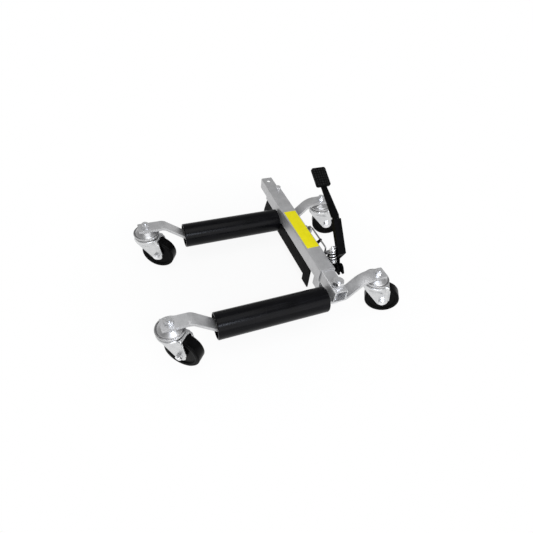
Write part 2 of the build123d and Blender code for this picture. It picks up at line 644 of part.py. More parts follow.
def return_spring():
    """One wire: coils about the axis, whose ends bend into line with it and meet the seats."""
    length = (spring_high - spring_low).length
    lead = 2 * WIRE_R
    first, last = lead + END_RISE, length - lead - END_RISE
    pitch = (last - first) / COIL_TURNS
    along = Vector(0, 0, 1)

    def at(turn, z):
        a = 2 * pi * turn
        place = Vector(SPRING_R * cos(a), SPRING_R * sin(a), z)
        return place, Vector(-sin(a), cos(a), pitch / (2 * pi * SPRING_R)).normalized()

    foot = Vector(SPRING_R, 0, lead)
    top_angle = 2 * pi * (COIL_TURNS + 2 * END_TURN)
    head = Vector(SPRING_R * cos(top_angle), SPRING_R * sin(top_angle), length - lead)
    stations = [(foot, along)]
    for i in range(4 * COIL_TURNS + 1):
        stations.append(at(END_TURN + i / 4, first + pitch * i / 4))
    stations.append((head, along))
    edges = [Line(foot - along * lead, foot)]
    for (p0, t0), (p1, t1) in zip(stations, stations[1:]):
        edges += biarc(p0, t0, p1, t1)
    edges.append(Line(head, head + along * lead))
    tightest = min(e.radius for e in edges if e.geom_type == GeomType.CIRCLE)
    per_edge = 8
    points = [e @ (i / per_edge) for e in edges for i in range(per_edge)]
    apart = 3 * per_edge      # nearer than this along the wire is the same bend
    gap = min((p - q).length for i, p in enumerate(points) for q in points[i + apart:])
    print(f"spring: {COIL_TURNS} coils, least gap {gap - 2 * WIRE_R:.2f}, tightest bend {tightest:.2f}")
    wire = Wire([e.edge() for e in edges])
    spring = sweep(Plane(foot - along * lead) * Circle(WIRE_R), path=wire)
    return Plane(spring_low, x_dir=(1, 0, 0), z_dir=spring_axis) * spring


# Ratchet pieces
def drive_pawl():
    """Pawl hung from the channel on its own stub pin."""
    y, z = drive_tip
    shank = hull(disc(drive, DRIVE_BOSS_R), disc((y - PAWL_TIP_H, z + PAWL_TIP_H), PAWL_TIP_H))
    nose = polygon([drive_tip, (y, z + 2 * PAWL_TIP_H), (y - 2 * PAWL_TIP_H, z + 2 * PAWL_TIP_H),
                    (y - PAWL_TIP_H, z)])
    pawl = plate_yz(shank + nose, pawl_left, pawl_right)
    return pawl + rod_along_x(DRIVE_PIN_R, pawl_left, channel_left + CHANNEL_T, *drive)


def holding_pawl():
    """Pawl on a stud in the rail's side, with a lug above for the release rod."""
    pin = (HOLD_Y, hold_z)
    tip_y, drop = HOLD_Y + HOLD_REACH, hold_z - tip_z
    boss = disc(pin, HOLD_BOSS_R)
    arm = polygon([(HOLD_Y, hold_z + HOLD_BOSS_R), (tip_y, hold_z - PAWL_TIP_H / 2), (tip_y, tip_z),
                   (tip_y - drop, hold_z - PAWL_TIP_H), (HOLD_Y, hold_z - HOLD_BOSS_R)])
    ends = [(HOLD_Y - ROD_HOLE_HALF, rod_z), (HOLD_Y + ROD_HOLE_HALF, rod_z)]
    lug = hull(boss, *(disc(p, ROD_HOLE_R + LUG_RIM) for p in ends))
    shape = boss + arm + lug - disc(pin, STUD_R + RUN) - hull(*(disc(p, ROD_HOLE_R) for p in ends))
    return plate_yz(shape, pawl_left, pawl_right)


def pawl_stud():
    """Shouldered stud in the rail's side, with a head outside the pawl."""
    stud = rod_along_x(STUD_R, rail_right - RAIL_WALL, pawl_right + LOOSE, HOLD_Y, hold_z)
    stud += rod_along_x(STUD_HEAD_R, rail_right, pawl_left - LOOSE, HOLD_Y, hold_z)
    head = pawl_right + LOOSE
    return stud + rod_along_x(STUD_HEAD_R, head, head + STUD_HEAD_T, HOLD_Y, hold_z)


def release_rod():
    """Bent wire from the holding pawl's lug along the rail to a turned-down finger pull."""
    inner = pawl_left - LOOSE
    route = [(inner, HOLD_Y, rod_z), (rod_x, HOLD_Y, rod_z), (rod_x, ROD_NEAR, rod_z),
             (rod_x, ROD_NEAR, rod_z - ROD_PULL)]
    path = FilletPolyline(*route, radius=ROD_BEND_R)
    return sweep(Plane(route[0], z_dir=(1, 0, 0)) * Circle(ROD_R), path=path)


def rod_guide():
    """Clip on the rail's side that the rod slides through."""
    eye = disc((rod_x, rod_z), ROD_R + LOOSE + GUIDE_RIM)
    low, high, side = rack_top + 2 * RACK_CLEAR, rail_top - RAIL_CORNER_R, rail_right + GUIDE_RIM
    foot = polygon([(rail_right, low), (side, low), (side, high), (rail_right, high)])
    near, far = GUIDE_Y, GUIDE_Y + GUIDE_T
    clip = plate_xz(hull(eye, foot) - disc((rod_x, rod_z), ROD_R + LOOSE), near, far)
    return clip - block(rail_left, rail_right, near - 1, far + 1, rail_bottom, rail_top + RAIL_SIZE)


# Castor pieces, made with the kingpin on the Z axis and the wheel trailing along X
def castor_fork():
    """Round plate with a straight hood over the wheel, two wide legs and edges folded out."""
    y0, y1 = FORK_GAP / 2, FORK_GAP / 2 + FORK_T
    fork = rod_along_z(FORK_R, fork_under, fork_top, 0, 0) + block(0, HOOD, -y1, y1, fork_under, fork_top)
    fork += block(HOOD - FORK_T, HOOD, -y1, y1, fork_under - HOOD_LIP, fork_top)
    fork -= rod_along_z(KING_R + RUN, 0, fork_top + 1, 0, 0)
    half = sqrt(FORK_R ** 2 - y1 ** 2)
    head = polygon([(-half, fork_top), (HOOD, fork_top), (HOOD, fork_under), (-half, fork_under)])
    eye = disc((TRAIL, WHEEL_R), FORK_EYE_R)
    leg = hull(head, eye) - disc((TRAIL, WHEEL_R), AXLE_R + FIT)
    corner = Vector(HOOD, fork_under)
    to_eye = Vector(TRAIL, WHEEL_R) - corner
    swing = asin(FORK_EYE_R / to_eye.length)
    edge = to_eye.rotate(Axis.Z, swing * 180 / pi) * cos(swing)
    rib = strip([corner, corner + edge], 0, FORK_T)
    for side in (1, -1):
        fork += plate_xz(leg, *sorted((side * y0, side * y1)))
        fork += plate_xz(rib, *sorted((side * y0, side * (y1 + FORK_RIB))))
    return fork


def castor_wheel():
    """Solid tyre with dished sides and a wider hub."""
    tyre = Cylinder(WHEEL_R, WHEEL_W)
    tyre = fillet(tyre.edges().filter_by(GeomType.CIRCLE), WHEEL_EDGE_R)
    ring = Cylinder(WHEEL_RIM_R, WHEEL_DISH) - Cylinder(HUB_R, WHEEL_DISH + 1)
    for side in (1, -1):
        tyre -= Pos(0, 0, side * (WHEEL_W - WHEEL_DISH) / 2) * ring
    tyre += Cylinder(HUB_R, HUB_W)
    return Pos(TRAIL, 0, WHEEL_R) * Rot(90, 0, 0) * (tyre - Cylinder(SLEEVE_R + RUN, HUB_W + 1))


def castor_axle():
    """Bolt through the fork, spacer sleeve inside the hub, and nut."""
    outside = FORK_GAP / 2 + FORK_T
    reach = AXLE_R * NUT_H
    bolt = Rot(-90, 0, 0) * Pos(0, 0, outside) * hexagon(AXLE_R * HEAD_FLATS, AXLE_R * HEAD_H)
    bolt += rod_along_y(AXLE_R, -outside - reach - 1, outside + 1, 0, 0)
    bore = rod_along_y(AXLE_R + FIT, -outside - reach - 2, outside, 0, 0)
    nut = Rot(90, 0, 0) * Pos(0, 0, outside) * hexagon(AXLE_R * HEAD_FLATS, reach) - bore
    sleeve = rod_along_y(SLEEVE_R, -FORK_GAP / 2, FORK_GAP / 2, 0, 0) - bore
    return [Pos(TRAIL, 0, WHEEL_R) * piece for piece in (bolt, nut, sleeve)]


def kingpin():
    pin = screw_up(KING_R, 0, 0, king_top, bar_top + KING_R * THREAD_OUT)
    return [pin, *washer_and_nut(KING_R, 0, 0, bar_top)]


def swivel_cap():
    """Upper ball race under the bar: a dome with a skirt round the balls."""
    cap = rod_along_z(FORK_R, cap_under - CAP_T * 2, cap_rim, 0, 0)
    cap -= rod_along_z(FORK_R - CAP_SKIRT_T, 0, cap_under, 0, 0)
    cap += Pos(0, 0, (cap_rim + arm_under) / 2) * Cone(CAP_DOME_R, CAP_HUB_R, CAP_DOME_H)
    return cap - rod_along_z(KING_R + FIT, 0, arm_under + 1, 0, 0)


def swivel_balls():
    z = (fork_top + cap_under) / 2
    ball = Pos(BALL_TRACK_R, 0, z) * Sphere(BALL_R)
    return [Rot(0, 0, 360 * i / BALL_COUNT) * ball for i in range(BALL_COUNT)]


nodes = {
    "outer_rail": outer_rail(),
    "label_patch": label_patch(),
    "tyre_guard": tyre_guard(),
    "guard_screws": guard_screws(),
    "gib_bracket": gib_bracket(),
    "rail_screws": rail_screws(),
    "inner_tube": inner_tube(),
    "ratchet_rack": ratchet_rack(),
    "packing_plate": packing_plate(),
    "clamp_bolt": clamp_bolt(),
    "far_left_bar": crank_bar(-1, ROLLER_Y),
    "far_right_bar": crank_bar(1, ROLLER_Y),
    "near_left_bar": crank_bar(-1, -ROLLER_Y),
    "near_right_bar": near_right_bar(),
    "pedal_bracket": pedal_bracket(),
    "pedal_pivot_pin": pivot_pin(),
    "pedal_channel": pedal_channel(),
    "pedal_upper_arm": pedal_upper_arm(),
    "pedal_pad": pad_slab(arm_top, arm_top + PAD_T),
    "pedal_tread": pad_slab(arm_top + PAD_T, arm_top + PAD_T + TREAD_T),
    "spring_lower_seat": spring_lower_seat(),
    "spring_upper_pin": spring_upper_pin(),
    "return_spring": return_spring(),
    "drive_pawl": drive_pawl(),
    "holding_pawl": holding_pawl(),
    "holding_pawl_stud": pawl_stud(),
    "release_rod": release_rod(),
    "rod_guide": rod_guide(),
}
for end, y in (("far", ROLLER_Y), ("near", -ROLLER_Y)):
    nodes[f"{end}_roller"] = roller(y)
    nodes[f"{end}_roller_bushes"] = roller_bushes(y)
    nodes[f"{end}_roller_shaft"] = roller_shaft(y)
    nodes[f"{end}_shaft_collars"] = shaft_collars(y)

castor_pieces = {
    "castor_fork": castor_fork(),
    "castor_wheel": castor_wheel(),
    "castor_axle": castor_axle(),
    "kingpin": kingpin(),
    "swivel_cap": swivel_cap(),
    "swivel_balls": swivel_balls(),
}
castor_places = {}
for corner, turn in CASTOR_TURN.items():
    x = STEM_X if "right" in corner else -STEM_X
    y = ROLLER_Y if "far" in corner else -ROLLER_Y
    castor_places[corner] = Pos(x, y, 0) * Rot(0, 0, turn)
    for name, pieces in castor_pieces.items():
        pieces = pieces if isinstance(pieces, list) else [pieces]
        nodes[f"{corner}_{name}"] = [castor_places[corner] * piece for piece in pieces]

solids = {name: [s for shape in (group if isinstance(group, list) else [group]) for s in shape.solids()]
          for name, group in nodes.items()}
box = Compound([s for group in solids.values() for s in group]).bounding_box()
origin = Vector((box.min.X + box.max.X) / 2, (box.min.Y + box.max.Y) / 2, box.min.Z)

for name, group in solids.items():
    moved = [Pos(*(-origin)) * s for s in group]
    export_step(moved[0] if len(moved) == 1 else Compound(moved), f"parts/{name}.step")
print(f"{len(solids)} nodes, {sum(len(g) for g in solids.values())} solids, origin {tuple(origin)}")
print(f"box {box.size.X:.1f} x {box.size.Y:.1f} x {box.size.Z:.1f}")
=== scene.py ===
import json
from math import acos, asin, atan2, cos, pi, radians, sin, tan
import bmesh
import bpy
from mathutils import Matrix, Vector


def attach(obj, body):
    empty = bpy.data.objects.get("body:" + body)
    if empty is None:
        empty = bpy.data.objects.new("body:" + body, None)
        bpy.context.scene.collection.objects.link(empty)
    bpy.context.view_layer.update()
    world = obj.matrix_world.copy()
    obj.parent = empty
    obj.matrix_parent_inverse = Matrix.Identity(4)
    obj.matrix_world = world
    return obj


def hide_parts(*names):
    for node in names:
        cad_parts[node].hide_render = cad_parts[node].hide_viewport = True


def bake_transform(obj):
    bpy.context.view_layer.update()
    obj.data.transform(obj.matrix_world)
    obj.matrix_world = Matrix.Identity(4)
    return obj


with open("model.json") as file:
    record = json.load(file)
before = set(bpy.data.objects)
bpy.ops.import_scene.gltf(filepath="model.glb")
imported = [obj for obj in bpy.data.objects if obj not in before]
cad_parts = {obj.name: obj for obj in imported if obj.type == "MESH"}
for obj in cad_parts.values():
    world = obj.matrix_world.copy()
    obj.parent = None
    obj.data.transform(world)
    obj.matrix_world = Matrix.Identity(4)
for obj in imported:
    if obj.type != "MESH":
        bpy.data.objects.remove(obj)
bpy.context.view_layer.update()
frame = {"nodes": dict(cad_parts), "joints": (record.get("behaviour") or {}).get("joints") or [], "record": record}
nodes = frame["nodes"]
joints = {joint["name"]: joint for joint in frame["joints"]}
CORNERS = ("far_left", "near_left", "near_right", "far_right")
MM = 0.001
WELD_GAP = 0.01 * MM      # points nearer than this are one point
middle = sum((Vector(joints[corner + "_swivel"]["pos_m"]) for corner in CORNERS), Vector()) / 4


def row(x, y, z):
    """Place given in millimetres from the middle of the kingpins on the floor, in the object's frame."""
    return Vector((x * MM + middle.x, y * MM + middle.y, z * MM))


# Camera, from the photograph: place in metres in the object's frame, angles in degrees
CAMERA_PLACE = (-0.35357, -0.83555, 0.8995)
CAMERA_TURN = 26.11       # from +Y towards +X
CAMERA_DOWN = 44.54
CAMERA_ROLL = -7.04
CAMERA_LENS = 26.26
CAMERA_SHIFT = (-0.0098, 0.0023)
SENSOR = 36.0


# Materials
class Finish:
    """A material being built: its node tree, its shader and the object's own coordinates."""

    def __init__(self, name, **sockets):
        self.material = bpy.data.materials.new(name)
        self.material.use_nodes = True
        self.tree = self.material.node_tree
        self.shader = self.tree.nodes["Principled BSDF"]
        for socket, value in sockets.items():
            self.shader.inputs[socket.replace("_", " ")].default_value = value
        self.place = self.add("ShaderNodeTexCoord").outputs["Object"]

    def add(self, kind, inputs=None, **settings):
        """New node with its settings, and its inputs linked or set."""
        node = self.tree.nodes.new(kind)
        for name, value in settings.items():
            setattr(node, name, value)
        for name, value in (inputs or {}).items():
            if isinstance(value, bpy.types.NodeSocket):
                self.tree.links.new(value, node.inputs[name])
            else:
                node.inputs[name].default_value = value
        return node

    def noise(self, size, detail=3.0, stretch=(1.0, 1.0, 1.0)):
        """Noise with features of that size in millimetres, drawn out along the axes by stretch."""
        scale = [1 / s for s in stretch]
        where = self.add("ShaderNodeMapping", {"Vector": self.place, "Scale": scale}).outputs["Vector"]
        inputs = {"Vector": where, "Scale": 1 / (size * MM), "Detail": detail}
        return self.add("ShaderNodeTexNoise", inputs).outputs["Fac"]

    def remap(self, source, low, high, start=0.3, end=0.7):
        """Source taken from start..end to low..high."""
        inputs = {"Value": source, "From Min": start, "From Max": end, "To Min": low, "To Max": high}
        return self.add("ShaderNodeMapRange", inputs).outputs["Result"]

    def math(self, operation, a, b):
        return self.add("ShaderNodeMath", {0: a, 1: b}, operation=operation).outputs["Value"]

    def mix(self, factor, one, two):
        """Colour one where factor is 0, colour two where it is 1."""
        node = self.add("ShaderNodeMix", {"Factor": factor}, data_type="RGBA")
        for socket, colour in zip((node.inputs[6], node.inputs[7]), (one, two)):
            if isinstance(colour, bpy.types.NodeSocket):
                self.tree.links.new(colour, socket)
            else:
                socket.default_value = (*colour, 1.0)
        return node.outputs[2]

    def edges(self, radius):
        """Near 1 on edges sharper than the radius in millimetres, 0 on flats."""
        round_normal = self.add("ShaderNodeBevel", {"Radius": radius * MM}, samples=4).outputs["Normal"]
        normal = self.add("ShaderNodeNewGeometry").outputs["Normal"]
        node = self.add("ShaderNodeVectorMath", {0: round_normal, 1: normal}, operation="DOT_PRODUCT")
        return self.remap(node.outputs["Value"], 1.0, 0.0, 0.75, 0.98)

    def open(self, reach):
        """1 where nothing stands within that reach in millimetres, near 0 in corners and recesses."""
        return self.add("ShaderNodeAmbientOcclusion", {"Distance": reach * MM}, samples=6).outputs["AO"]

    def set(self, socket, value):
        self.tree.links.new(value, self.shader.inputs[socket])

    def bump(self, height, depth):
        """Surface relief of that depth in millimetres."""
        node = self.add("ShaderNodeBump", {"Height": height, "Distance": depth * MM, "Strength": 1.0})
        self.set("Normal", node.outputs["Normal"])


def zinc():
    """Dull zinc plate: cloudy grey, fine rolling grain, and a painted highlight along the edges."""
    finish = Finish("zinc", Metallic=0.8)
    cloud = finish.noise(26, 4.0)
    spangle = finish.noise(3.2, 3.0)
    grain = finish.noise(0.9, 2.0)
    tone = finish.math("ADD", finish.remap(cloud, 0.0, 0.45), finish.remap(spangle, 0.0, 0.55))
    colour = finish.mix(tone, (0.50, 0.50, 0.505), (0.66, 0.66, 0.665))
    # painted highlight: edges lightened towards 0.86, standing in for edges catching light
    colour = finish.mix(finish.edges(0.9), colour, (0.86, 0.86, 0.86))
    finish.set("Base Color", colour)
    rough = finish.math("ADD", finish.remap(cloud, 0.48, 0.54), finish.remap(grain, -0.05, 0.05))
    finish.set("Roughness", rough)
    finish.bump(finish.math("ADD", grain, spangle), 0.02)
    return finish.material


def bright_zinc():
    """Bright plated pressings: lighter and smoother, with faint blue in the clouds and painted shade in recesses.
    """
    finish = Finish("bright_zinc", Metallic=0.96)
    cloud = finish.noise(12, 3.0)
    colour = finish.mix(finish.remap(cloud, 0.0, 1.0), (0.60, 0.61, 0.62), (0.70, 0.70, 0.70))
    # painted shade: base colour darkened towards 0.18 where ambient occlusion finds recesses
    painted_shade = finish.remap(finish.open(6), 1.0, 0.0, 0.2, 0.65)
    finish.set("Base Color", finish.mix(painted_shade, colour, (0.18, 0.18, 0.19)))
    finish.set("Roughness", finish.remap(cloud, 0.28, 0.34))
    finish.bump(cloud, 0.01)
    return finish.material


def cap_zinc():
    """Duller plate of the castors' caps, with painted shade in the grooves."""
    finish = Finish("cap_zinc", Metallic=1.0)
    cloud = finish.noise(12, 3.0)
    colour = finish.mix(finish.remap(cloud, 0.0, 1.0), (0.46, 0.46, 0.47), (0.56, 0.56, 0.56))
    # painted shade: base colour darkened towards 0.1 where ambient occlusion finds grooves
    painted_shade = finish.remap(finish.open(4), 1.0, 0.0, 0.2, 0.7)
    finish.set("Base Color", finish.mix(painted_shade, colour, (0.1, 0.1, 0.105)))
    finish.set("Roughness", finish.remap(cloud, 0.32, 0.38))
    finish.bump(cloud, 0.01)
    return finish.material


def bright_steel(name, reach):
    """Plated screws, nuts, pins and wire, with painted shade in recesses within that reach in millimetres."""
    finish = Finish(name, Metallic=1.0)
    cloud = finish.noise(3, 3.0)
    colour = finish.mix(finish.remap(cloud, 0.0, 1.0), (0.82, 0.83, 0.85), (0.93, 0.93, 0.94))
    # painted shade: base colour darkened to near black where ambient occlusion finds recesses
    painted_shade = finish.remap(finish.open(reach), 1.0, 0.0, 0.3, 0.75)
    finish.set("Base Color", finish.mix(painted_shade, colour, (0.03, 0.03, 0.045)))
    finish.set("Roughness", finish.remap(cloud, 0.2, 0.32))
    finish.bump(finish.noise(0.8, 2.0), 0.006)
    return finish.material


def black_paint():
    """Satin black paint over steel, with orange peel and edges rubbed to grey."""
    finish = Finish("black_paint", Specular_IOR_Level=0.012)
    cloud = finish.noise(18, 4.0)
    colour = finish.mix(finish.remap(cloud, 0.0, 1.0), (0.003, 0.003, 0.003), (0.0055, 0.0055, 0.006))
    worn = finish.math("MULTIPLY", finish.edges(0.6), finish.remap(finish.noise(5, 4.0), 0.0, 1.0, 0.5, 0.62))
    finish.set("Base Color", finish.mix(worn, colour, (0.09, 0.09, 0.095)))
    finish.set("Roughness", finish.remap(cloud, 0.34, 0.5))
    finish.bump(finish.noise(1.6, 2.0), 0.06)
    return finish.material


def dark_steel():
    """Oiled, blackened steel of the rack and pawls."""
    finish = Finish("dark_steel", Metallic=1.0)
    cloud = finish.noise(6, 4.0)
    colour = finish.mix(finish.remap(cloud, 0.0, 1.0), (0.10, 0.10, 0.105), (0.2, 0.2, 0.2))
    finish.set("Base Color", finish.mix(finish.edges(0.5), colour, (0.45, 0.45, 0.45)))
    finish.set("Roughness", finish.remap(cloud, 0.32, 0.5))
    finish.bump(finish.noise(0.9, 2.0), 0.03)
    return finish.material


def rod_steel():
    """Plain drawn wire."""
    finish = Finish("rod_steel", Metallic=1.0)
    drawn = finish.noise(0.8, 2.0, (1.0, 20.0, 1.0))
    finish.set("Base Color", finish.mix(drawn, (0.34, 0.34, 0.35), (0.5, 0.5, 0.5)))
    finish.set("Roughness", finish.remap(drawn, 0.26, 0.4))
    finish.bump(drawn, 0.02)
    return finish.material


def roller_black():
    """Satin black coated roller, drawn lengthwise, with faint handling marks round it."""
    finish = Finish("roller_black", Specular_IOR_Level=0.09)
    cloud = finish.noise(40, 4.0)
    drawn = finish.noise(2.6, 3.0, (26.0, 1.0, 1.0))
    marks = finish.noise(1.4, 3.0, (1.0, 14.0, 14.0))
    colour = finish.mix(finish.remap(cloud, 0.0, 1.0), (0.002, 0.002, 0.0025), (0.0035, 0.0035, 0.0045))
    rubbed = finish.remap(marks, 0.0, 0.3, 0.6, 0.8)
    scuff = finish.math("ADD", rubbed, finish.remap(drawn, 0.0, 0.3, 0.5, 0.75))
    finish.set("Base Color", finish.mix(scuff, colour, (0.012, 0.012, 0.016)))
    rough = finish.math("ADD", finish.remap(cloud, 0.22, 0.28), finish.remap(drawn, -0.04, 0.04))
    finish.set("Roughness", rough)
    finish.bump(finish.math("ADD", drawn, marks), 0.015)
    return finish.material


def tyre_black():
    """Moulded black wheel."""
    finish = Finish("tyre_black", Specular_IOR_Level=0.045)
    cloud = finish.noise(12, 4.0)
    colour = finish.mix(finish.remap(cloud, 0.0, 1.0), (0.0015, 0.0015, 0.0015), (0.003, 0.003, 0.0032))
    finish.set("Base Color", colour)
    finish.set("Roughness", finish.remap(cloud, 0.2, 0.32))
    finish.bump(finish.noise(1.2, 3.0), 0.012)
    return finish.material


def rubber(name, dark, light):
    """Black rubber of the pedal's tread, between two greys."""
    finish = Finish(name, Specular_IOR_Level=0.06)
    cloud = finish.noise(6, 4.0)
    colour = finish.mix(finish.remap(cloud, 0.0, 1.0), (dark, dark, dark), (light, light, light))
    finish.set("Base Color", colour)
    finish.set("Roughness", finish.remap(cloud, 0.36, 0.5))
    finish.bump(finish.noise(0.9, 3.0), 0.05)
    return finish.material


def yellow_film():
    """Plain yellow plastic film with faint waves from being stuck on."""
    finish = Finish("yellow_film", Specular_IOR_Level=0.15)
    cloud = finish.noise(14, 3.0)
    colour = finish.mix(finish.remap(cloud, 0.0, 1.0), (0.84, 0.75, 0.005), (0.90, 0.81, 0.007))
    finish.set("Base Color", colour)
    finish.set("Roughness", finish.remap(cloud, 0.28, 0.4))
    finish.bump(finish.noise(9, 2.0), 0.12)
    return finish.material


def nylon():
    """Off-white moulded bushes."""
    finish = Finish("nylon")
    cloud = finish.noise(5, 3.0)
    finish.set("Base Color", finish.mix(cloud, (0.66, 0.64, 0.58), (0.76, 0.74, 0.68)))
    finish.set("Roughness", finish.remap(cloud, 0.4, 0.55))
    finish.bump(finish.noise(1.0, 2.0), 0.03)
    return finish.material


MATERIALS = {
    "zinc": zinc(),
    "bright_zinc": bright_zinc(),
    "cap_zinc": cap_zinc(),
    "bright_steel": bright_steel("bright_steel", 2),
    # the spring's painted shade reaches 14 mm and darkens the inner sides of the coils
    "spring_steel": bright_steel("spring_steel", 14),
    "black_paint": black_paint(),
    "dark_steel": dark_steel(),
    "rod_steel": rod_steel(),
    "roller_black": roller_black(),
    "black_tyre": tyre_black(),
    "black_rubber": rubber("black_rubber", 0.002, 0.005),
    "worn_rubber": rubber("worn_rubber", 0.005, 0.02),
    "yellow_film": yellow_film(),
    "nylon": nylon(),
}


def paint(piece, material):
    piece.data.materials.clear()
    piece.data.materials.append(MATERIALS[material])


def weld(piece):
    """Faces that meet share their points."""
    piece.modifiers.new("weld", "WELD").merge_threshold = WELD_GAP


def soften(piece, width):
    """Small rounded edges on a CAD plate, of that width in millimetres."""
    weld(piece)
    bevel = piece.modifiers.new("bevel", "BEVEL")
    bevel.width = width * MM
    bevel.segments = 2
    bevel.limit_method = "ANGLE"
    bevel.angle_limit = radians(40)
    bevel.harden_normals = True


# Edges eased on CAD plates and tubes, in millimetres
EASED = {"far_left_bar": 1.2, "far_right_bar": 1.2, "near_left_bar": 1.2, "near_right_bar": 1.2,
         "inner_tube": 0.6, "gib_bracket": 0.8, "packing_plate": 0.5,
         "pedal_upper_arm": 0.8, "pedal_bracket": 0.6, "pedal_channel": 0.6, "tyre_guard": 0.6}

# CAD nodes take the finish of their slot, apart from the rod and the pawls
DRAWN = ("release_rod", "holding_pawl", "drive_pawl")
for subpart in frame["record"]["subparts"]:
    drawn = subpart["node"] in DRAWN
    paint(nodes[subpart["node"]], "rod_steel" if drawn else subpart["material_slot"])
for name, width in EASED.items():
    soften(nodes[name], width)


# Shapes
def rounded(corners, steps=5):
    """Closed outline through corners (x, y, radius), each rounded off."""
    outline = []
    for i, (x, y, radius) in enumerate(corners):
        here = Vector((x, y))
        back = (Vector(corners[i - 1][:2]) - here).normalized()
        ahead = (Vector(corners[(i + 1) % len(corners)][:2]) - here).normalized()
        half = back.angle(ahead) / 2
        centre = here + (back + ahead).normalized() * (radius / sin(half))
        start, end = (here + way * (radius / tan(half)) - centre for way in (back, ahead))
        first = atan2(start.y, start.x)
        turn = (atan2(end.y, end.x) - first + pi) % (2 * pi) - pi
        for k in range(steps + 1):
            a = first + turn * k / steps
            outline.append((centre.x + radius * cos(a), centre.y + radius * sin(a)))
    return outline


def lathe(outline, steps=96):
    """Points and faces of a closed outline of (radius, height), turned about Z."""
    points, faces = [], []
    count = len(outline)
    for i in range(steps):
        a = 2 * pi * i / steps
        points += [Vector((r * cos(a), r * sin(a), z)) * MM for r, z in outline]
        ahead = (i + 1) % steps
        for k in range(count):
            after = (k + 1) % count
            faces.append((i * count + k, ahead * count + k, ahead * count + after, i * count + after))
    return points, faces


def wire(path, radii, steps=12):
    """Points and faces of a closed round wire along a path of points, with a radius for each."""
    points, faces = [], []
    across = None
    for i, (place, radius) in enumerate(zip(path, radii)):
        run = (path[min(i + 1, len(path) - 1)] - path[max(i - 1, 0)]).normalized()
        across = (run.orthogonal() if across is None else across - run * across.dot(run)).normalized()
        side = run.cross(across)
        for k in range(steps):
            a = 2 * pi * k / steps
            points.append(place + (across * cos(a) + side * sin(a)) * radius)
        if i:
            for k in range(steps):
                after = (k + 1) % steps
                faces.append(((i - 1) * steps + k, (i - 1) * steps + after, i * steps + after, i * steps + k))
    last = (len(path) - 1) * steps
    return points, faces + [tuple(range(steps))[::-1], tuple(range(last, last + steps))]


def make_piece(name, shape, material, place=None, sharp=38):
    """New piece from points and faces, turned outward, smooth apart from edges over that angle."""
    mesh = bpy.data.meshes.new(name)
    mesh.from_pydata(shape[0], [], shape[1])
    build = bmesh.new()
    build.from_mesh(mesh)
    bmesh.ops.recalc_face_normals(build, faces=build.faces)
    build.to_mesh(mesh)
    build.free()
    if place:
        mesh.transform(place)
    mesh.polygons.foreach_set("use_smooth", [True] * len(mesh.polygons))
    mesh.set_sharp_from_angle(angle=radians(sharp))
    piece = bpy.data.objects.new(name, mesh)
    bpy.context.scene.collection.objects.link(piece)
    paint(piece, material)
    return piece


def facing(place, axis):
    """Matrix that puts the origin at a place and Z along an axis."""
    return Matrix.Translation(place) @ Vector(axis).to_track_quat("Z", "Y").to_matrix().to_4x4()


# Return spring: wound wire with closed end turns, held by the frame below and the pedal above
SPRING_LOW = row(199.0, -95.5, 121.0)
SPRING_HIGH = row(199.0, -77.7, 156.3)
COIL_R = 8.5
WIRE_R = 1.75
END_PITCH = 3.7
OPEN_TURNS = 3.5
TURN_STEPS = 40


def spring():
    length = (SPRING_HIGH - SPRING_LOW).length / MM
    pitch = (length - 2 * WIRE_R - 2 * END_PITCH) / OPEN_TURNS
    turns = OPEN_TURNS + 2
    path, height = [], WIRE_R
    for i in range(int(turns * TURN_STEPS) + 1):
        turn = i / TURN_STEPS
        a = 2 * pi * turn
        path.append(Vector((COIL_R * cos(a), COIL_R * sin(a), height)) * MM)
        height += (END_PITCH if turn < 1 or turn >= turns - 1 else pitch) / TURN_STEPS
    shape = wire(path, [WIRE_R * MM] * len(path), 14)
    place = facing(SPRING_LOW, SPRING_HIGH - SPRING_LOW)
    piece = make_piece("wound_spring", shape, "spring_steel", place)
    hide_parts("return_spring")
    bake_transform(piece)


spring()

# Castors: turned caps and wheels with their rings; outlines are (radius, height, corner radius),
# and a wheel's other side mirrors the one given
CAP = [(6.2, 130.0, 0.1), (21.0, 130.0, 1.4), (31.0, 121.8, 2.4),
       (33.0, 118.0, 0.9), (34.4, 117.8, 0.5), (35.0, 119.6, 0.8), (37.2, 119.4, 1.0), (38.0, 116.6, 1.2),
       (36.4, 111.8, 0.7), (34.4, 111.8, 0.4), (34.4, 116.0, 0.6), (6.2, 116.0, 0.1)]
WHEEL_SIDE = [(8.1, 18.5, 0.3), (15.4, 18.5, 1.0), (16.6, 13.0, 1.4), (36.8, 12.6, 1.6), (38.6, 16.2, 1.1),
              (42.4, 16.5, 0.4), (42.9, 15.8, 0.25), (43.9, 15.8, 0.25), (44.4, 16.5, 0.4), (46.8, 16.3, 1.3),
              (49.8, 13.4, 1.6)]


# Castor fork, pressed from one sheet: a round crown with a straight hood, and a leg each side
CROWN_R = 37.0
CROWN_TOP = 108.5
SHOULDER_R = 4.5
LEG_OUT = 22.5            # middle of the fork to the legs' outer faces
SHEET = 3.0
HOOD = 41.0               # kingpin to the hood's edge
HOOD_LOW = 101.0
HOOD_EASE = 0.3
APRON_LOW = 96.5
APRON_IN = 3.7            # front of the apron to where the leg starts, and how much lower that is
APRON_DROP = 1.5
CROWN_TURNS = (180.0, 153.0, 95.0, 60.0)    # from the trailing end; the leg starts at the second
EYE = (33.5, 50.0)
EYE_R = 17.0
FLAT_LOW = 76.0           # legs are flat below this
FLANGE = 3.2
FLANGE_LEAN = 0.12
PIN_R = 6.3
COLUMNS = (6, 18, 12, 10, 12, 8)    # apron, leg's front, eye in two parts, leg's back, hood
SHOULDER_STEPS = 4
WALL_STEPS = 14


def between(one, two, count):
    """Points from one to two, without the last."""
    return [Vector(one).lerp(Vector(two), i / count) for i in range(count)]


